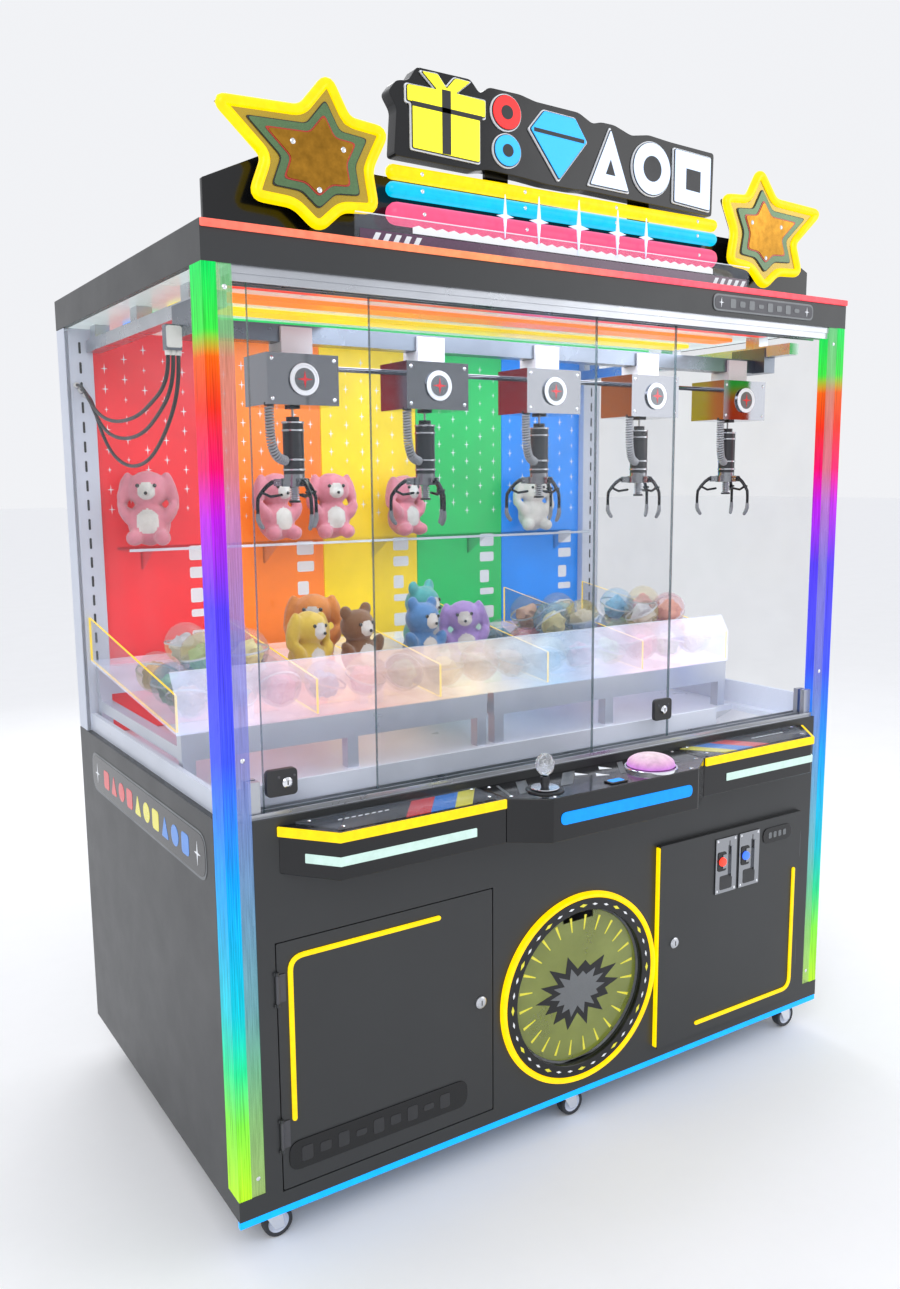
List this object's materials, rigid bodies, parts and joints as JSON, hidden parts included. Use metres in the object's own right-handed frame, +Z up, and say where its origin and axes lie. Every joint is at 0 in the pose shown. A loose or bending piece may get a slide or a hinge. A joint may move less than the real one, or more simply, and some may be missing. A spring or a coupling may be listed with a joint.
{
  "type": "claw crane machine",
  "caption": "Wide floor-standing claw crane cabinet on casters: lit columns, sliding glass doors, gantry with joined claws, laned prize tray, console and marquee.",
  "frame": {"origin": "on the floor under the middle of the whole object's box", "axes": "+Z up, front faces -Y, +X to the right seen from the front"},
  "size_m": [1.5, 1.03, 2.038],
  "materials": {
    "charcoal_panel": "board with a satin charcoal coat",
    "frame_steel": "powder coated steel",
    "white_panel": "board with a satin white coat",
    "chute_plastic": "white plastic sheet",
    "electronics": "metal case and circuit board",
    "light_acrylic": "lit acrylic",
    "clear_glass": "clear tempered glass",
    "panel_lights": "back-lit coloured acrylic",
    "ceiling": "white panel with lit bars",
    "neon": "lit silicone strip",
    "sign_black": "gloss black board with coloured faces",
    "star_metal": "mirror acrylic layers",
    "track_aluminium": "anodised extrusion",
    "clear_acrylic": "clear acrylic sheet",
    "stand_aluminium": "brushed extrusion",
    "prize_mix": "capsules and plush",
    "console_black": "gloss black",
    "rail_steel": "ground steel",
    "cable_black": "black cable jacket",
    "curly_grey": "grey curly cord",
    "door_black": "black band and lit ring",
    "flap_acrylic": "tinted translucent acrylic",
    "coin_steel": "bright plate and black case",
    "crystal": "faceted clear knob on a steel shaft",
    "black_plastic": "moulded plastic",
    "button_pink": "lit dome button",
    "winch_chrome": "chromed case",
    "claw_steel": "plated steel",
    "line_steel": "steel line",
    "caster_steel": "zinc plated",
    "caster_tread": "black tread on a hub"
  },
  "bodies": {
    "cabinet": {"base_frame": "frame_steel", "cabinet_panels": "charcoal_panel", "front_panel": "charcoal_panel", "play_deck": "white_panel", "prize_chute": "chute_plastic", "electronics": "electronics", "corner_columns": "light_acrylic", "side_glass": "clear_glass", "back_wall": "panel_lights", "roof_canopy": "charcoal_panel", "ceiling_lights": "ceiling", "light_strips": "neon", "marquee_board": "sign_black", "marquee_tubes": "neon", "marquee_stars": "star_metal", "door_tracks": "track_aluminium", "prize_tray": "clear_acrylic", "tray_stand": "stand_aluminium", "prizes": "prize_mix", "control_console": "console_black", "prize_door_ring": "door_black", "gantry_rails": "rail_steel", "gantry_cables": "cable_black"},
    "left_door": {"left_glass_door": "clear_glass"},
    "right_door": {"right_glass_door": "clear_glass"},
    "service_door": {"service_door": "charcoal_panel"},
    "coin_door": {"coin_door": "charcoal_panel", "coin_mechs": "coin_steel"},
    "flap": {"prize_flap": "flap_acrylic"},
    "gimbal": {"joystick_gimbal": "black_plastic"},
    "stick": {"joystick": "crystal"},
    "button": {"push_button": "button_pink"},
    "bridge": {"gantry_bridge": "rail_steel"},
    "carriage": {"winch_boxes": "winch_chrome", "hoist_lines": "line_steel", "curly_cords": "curly_grey"},
    "claws": {"claw_heads": "claw_steel"},
    "front_fingers": {"front_claw_fingers": "claw_steel"},
    "left_finger_1": {"left_finger_1": "claw_steel"},
    "right_finger_1": {"right_finger_1": "claw_steel"},
    "left_finger_2": {"left_finger_2": "claw_steel"},
    "right_finger_2": {"right_finger_2": "claw_steel"},
    "left_finger_3": {"left_finger_3": "claw_steel"},
    "right_finger_3": {"right_finger_3": "claw_steel"},
    "left_finger_4": {"left_finger_4": "claw_steel"},
    "right_finger_4": {"right_finger_4": "claw_steel"},
    "left_finger_5": {"left_finger_5": "claw_steel"},
    "right_finger_5": {"right_finger_5": "claw_steel"},
    "front_left_fork": {"front_left_caster_fork": "caster_steel"},
    "front_left_wheel": {"front_left_caster_wheel": "caster_tread"},
    "front_middle_fork": {"front_middle_caster_fork": "caster_steel"},
    "front_middle_wheel": {"front_middle_caster_wheel": "caster_tread"},
    "front_right_fork": {"front_right_caster_fork": "caster_steel"},
    "front_right_wheel": {"front_right_caster_wheel": "caster_tread"},
    "rear_left_fork": {"rear_left_caster_fork": "caster_steel"},
    "rear_left_wheel": {"rear_left_caster_wheel": "caster_tread"},
    "rear_middle_fork": {"rear_middle_caster_fork": "caster_steel"},
    "rear_middle_wheel": {"rear_middle_caster_wheel": "caster_tread"},
    "rear_right_fork": {"rear_right_caster_fork": "caster_steel"},
    "rear_right_wheel": {"rear_right_caster_wheel": "caster_tread"}
  },
  "joints": [
    {"name": "left_door_slide", "type": "slide", "parent": "cabinet", "child": "left_door", "axis": [1, 0, 0], "range_m": [0, 0.632]},
    {"name": "right_door_slide", "type": "slide", "parent": "cabinet", "child": "right_door", "axis": [1, 0, 0], "range_m": [-0.227, 0.405]},
    {"name": "service_door_hinge", "type": "hinge", "parent": "cabinet", "child": "service_door", "pos_m": [-0.668, -0.3785, 0.347], "axis": [0, 0, -1], "range_deg": [0, 110]},
    {"name": "coin_door_hinge", "type": "hinge", "parent": "cabinet", "child": "coin_door", "pos_m": [0.6585, -0.381, 0.347], "axis": [0, 0, 1], "range_deg": [0, 110]},
    {"name": "prize_flap_hinge", "type": "hinge", "parent": "cabinet", "child": "flap", "pos_m": [0, -0.361, 0.487], "axis": [1, 0, 0], "range_deg": [0, 60]},
    {"name": "joystick_tilt_front_back", "type": "hinge", "parent": "cabinet", "child": "gimbal", "pos_m": [-0.16, -0.459, 0.754], "axis": [1, 0, 0], "range_deg": [-12, 12], "stiffness_Nm_per_rad": 1},
    {"name": "joystick_tilt_left_right", "type": "hinge", "parent": "gimbal", "child": "stick", "pos_m": [-0.16, -0.459, 0.754], "axis": [0, 1, 0], "range_deg": [-12, 12], "stiffness_Nm_per_rad": 1},
    {"name": "push_button_press", "type": "slide", "parent": "cabinet", "child": "button", "axis": [0, 0, -1], "range_m": [0, 0.006], "stiffness_N_per_m": 600, "springref_m": -0.006},
    {"name": "bridge_travel", "type": "slide", "parent": "cabinet", "child": "bridge", "axis": [0, 1, 0], "range_m": [-0.03, 0.44]},
    {"name": "carriage_travel", "type": "slide", "parent": "bridge", "child": "carriage", "axis": [1, 0, 0], "range_m": [-0.12, 0.03]},
    {"name": "claw_hoist", "type": "slide", "parent": "carriage", "child": "claws", "axis": [0, 0, -1], "range_m": [0, 0.22], "deforming": ["hoist_lines", "curly_cords"]},
    {"name": "front_fingers_hinge", "type": "hinge", "parent": "claws", "child": "front_fingers", "pos_m": [0.05, -0.197, 1.345], "axis": [1, 0, 0], "range_deg": [-15, 25], "stiffness_Nm_per_rad": 8},
    {"name": "right_finger_1_hinge", "type": "hinge", "parent": "claws", "child": "right_finger_1", "pos_m": [-0.48229, -0.149, 1.345], "axis": [-0.5, 0.866, 0], "range_deg": [-15, 25]},
    {"name": "left_finger_1_hinge", "type": "hinge", "parent": "claws", "child": "left_finger_1", "pos_m": [-0.53771, -0.149, 1.345], "axis": [-0.5, -0.866, 0], "range_deg": [-15, 25]},
    {"name": "right_finger_2_hinge", "type": "hinge", "parent": "claws", "child": "right_finger_2", "pos_m": [-0.20229, -0.149, 1.345], "axis": [-0.5, 0.866, 0], "range_deg": [-15, 25]},
    {"name": "left_finger_2_hinge", "type": "hinge", "parent": "claws", "child": "left_finger_2", "pos_m": [-0.25771, -0.149, 1.345], "axis": [-0.5, -0.866, 0], "range_deg": [-15, 25]},
    {"name": "right_finger_3_hinge", "type": "hinge", "parent": "claws", "child": "right_finger_3", "pos_m": [0.07771, -0.149, 1.345], "axis": [-0.5, 0.866, 0], "range_deg": [-15, 25]},
    {"name": "left_finger_3_hinge", "type": "hinge", "parent": "claws", "child": "left_finger_3", "pos_m": [0.02229, -0.149, 1.345], "axis": [-0.5, -0.866, 0], "range_deg": [-15, 25]},
    {"name": "right_finger_4_hinge", "type": "hinge", "parent": "claws", "child": "right_finger_4", "pos_m": [0.35771, -0.149, 1.345], "axis": [-0.5, 0.866, 0], "range_deg": [-15, 25]},
    {"name": "left_finger_4_hinge", "type": "hinge", "parent": "claws", "child": "left_finger_4", "pos_m": [0.30229, -0.149, 1.345], "axis": [-0.5, -0.866, 0], "range_deg": [-15, 25]},
    {"name": "right_finger_5_hinge", "type": "hinge", "parent": "claws", "child": "right_finger_5", "pos_m": [0.63771, -0.149, 1.345], "axis": [-0.5, 0.866, 0], "range_deg": [-15, 25]},
    {"name": "left_finger_5_hinge", "type": "hinge", "parent": "claws", "child": "left_finger_5", "pos_m": [0.58229, -0.149, 1.345], "axis": [-0.5, -0.866, 0], "range_deg": [-15, 25]},
    {"name": "front_left_caster_swivel", "type": "hinge", "parent": "cabinet", "child": "front_left_fork", "pos_m": [-0.68, -0.32, 0.086], "axis": [0, 0, 1], "continuous": true},
    {"name": "front_left_caster_roll", "type": "hinge", "parent": "front_left_fork", "child": "front_left_wheel", "pos_m": [-0.66, -0.32, 0.028], "axis": [0, 1, 0], "continuous": true},
    {"name": "front_middle_caster_swivel", "type": "hinge", "parent": "cabinet", "child": "front_middle_fork", "pos_m": [0, -0.32, 0.086], "axis": [0, 0, 1], "continuous": true},
    {"name": "front_middle_caster_roll", "type": "hinge", "parent": "front_middle_fork", "child": "front_middle_wheel", "pos_m": [0.02, -0.32, 0.028], "axis": [0, 1, 0], "continuous": true},
    {"name": "front_right_caster_swivel", "type": "hinge", "parent": "cabinet", "child": "front_right_fork", "pos_m": [0.68, -0.32, 0.086], "axis": [0, 0, 1], "continuous": true},
    {"name": "front_right_caster_roll", "type": "hinge", "parent": "front_right_fork", "child": "front_right_wheel", "pos_m": [0.7, -0.32, 0.028], "axis": [0, 1, 0], "continuous": true},
    {"name": "rear_left_caster_swivel", "type": "hinge", "parent": "cabinet", "child": "rear_left_fork", "pos_m": [-0.68, 0.46, 0.086], "axis": [0, 0, 1], "continuous": true},
    {"name": "rear_left_caster_roll", "type": "hinge", "parent": "rear_left_fork", "child": "rear_left_wheel", "pos_m": [-0.66, 0.46, 0.028], "axis": [0, 1, 0], "continuous": true},
    {"name": "rear_middle_caster_swivel", "type": "hinge", "parent": "cabinet", "child": "rear_middle_fork", "pos_m": [0, 0.46, 0.086], "axis": [0, 0, 1], "continuous": true},
    {"name": "rear_middle_caster_roll", "type": "hinge", "parent": "rear_middle_fork", "child": "rear_middle_wheel", "pos_m": [0.02, 0.46, 0.028], "axis": [0, 1, 0], "continuous": true},
    {"name": "rear_right_caster_swivel", "type": "hinge", "parent": "cabinet", "child": "rear_right_fork", "pos_m": [0.68, 0.46, 0.086], "axis": [0, 0, 1], "continuous": true},
    {"name": "rear_right_caster_roll", "type": "hinge", "parent": "rear_right_fork", "child": "rear_right_wheel", "pos_m": [0.7, 0.46, 0.028], "axis": [0, 1, 0], "continuous": true}
  ],
  "couplings": [
    {"joint": "right_finger_1_hinge", "follows": "front_fingers_hinge", "ratio": 1},
    {"joint": "left_finger_1_hinge", "follows": "front_fingers_hinge", "ratio": 1},
    {"joint": "right_finger_2_hinge", "follows": "front_fingers_hinge", "ratio": 1},
    {"joint": "left_finger_2_hinge", "follows": "front_fingers_hinge", "ratio": 1},
    {"joint": "right_finger_3_hinge", "follows": "front_fingers_hinge", "ratio": 1},
    {"joint": "left_finger_3_hinge", "follows": "front_fingers_hinge", "ratio": 1},
    {"joint": "right_finger_4_hinge", "follows": "front_fingers_hinge", "ratio": 1},
    {"joint": "left_finger_4_hinge", "follows": "front_fingers_hinge", "ratio": 1},
    {"joint": "right_finger_5_hinge", "follows": "front_fingers_hinge", "ratio": 1},
    {"joint": "left_finger_5_hinge", "follows": "front_fingers_hinge", "ratio": 1}
  ]
}
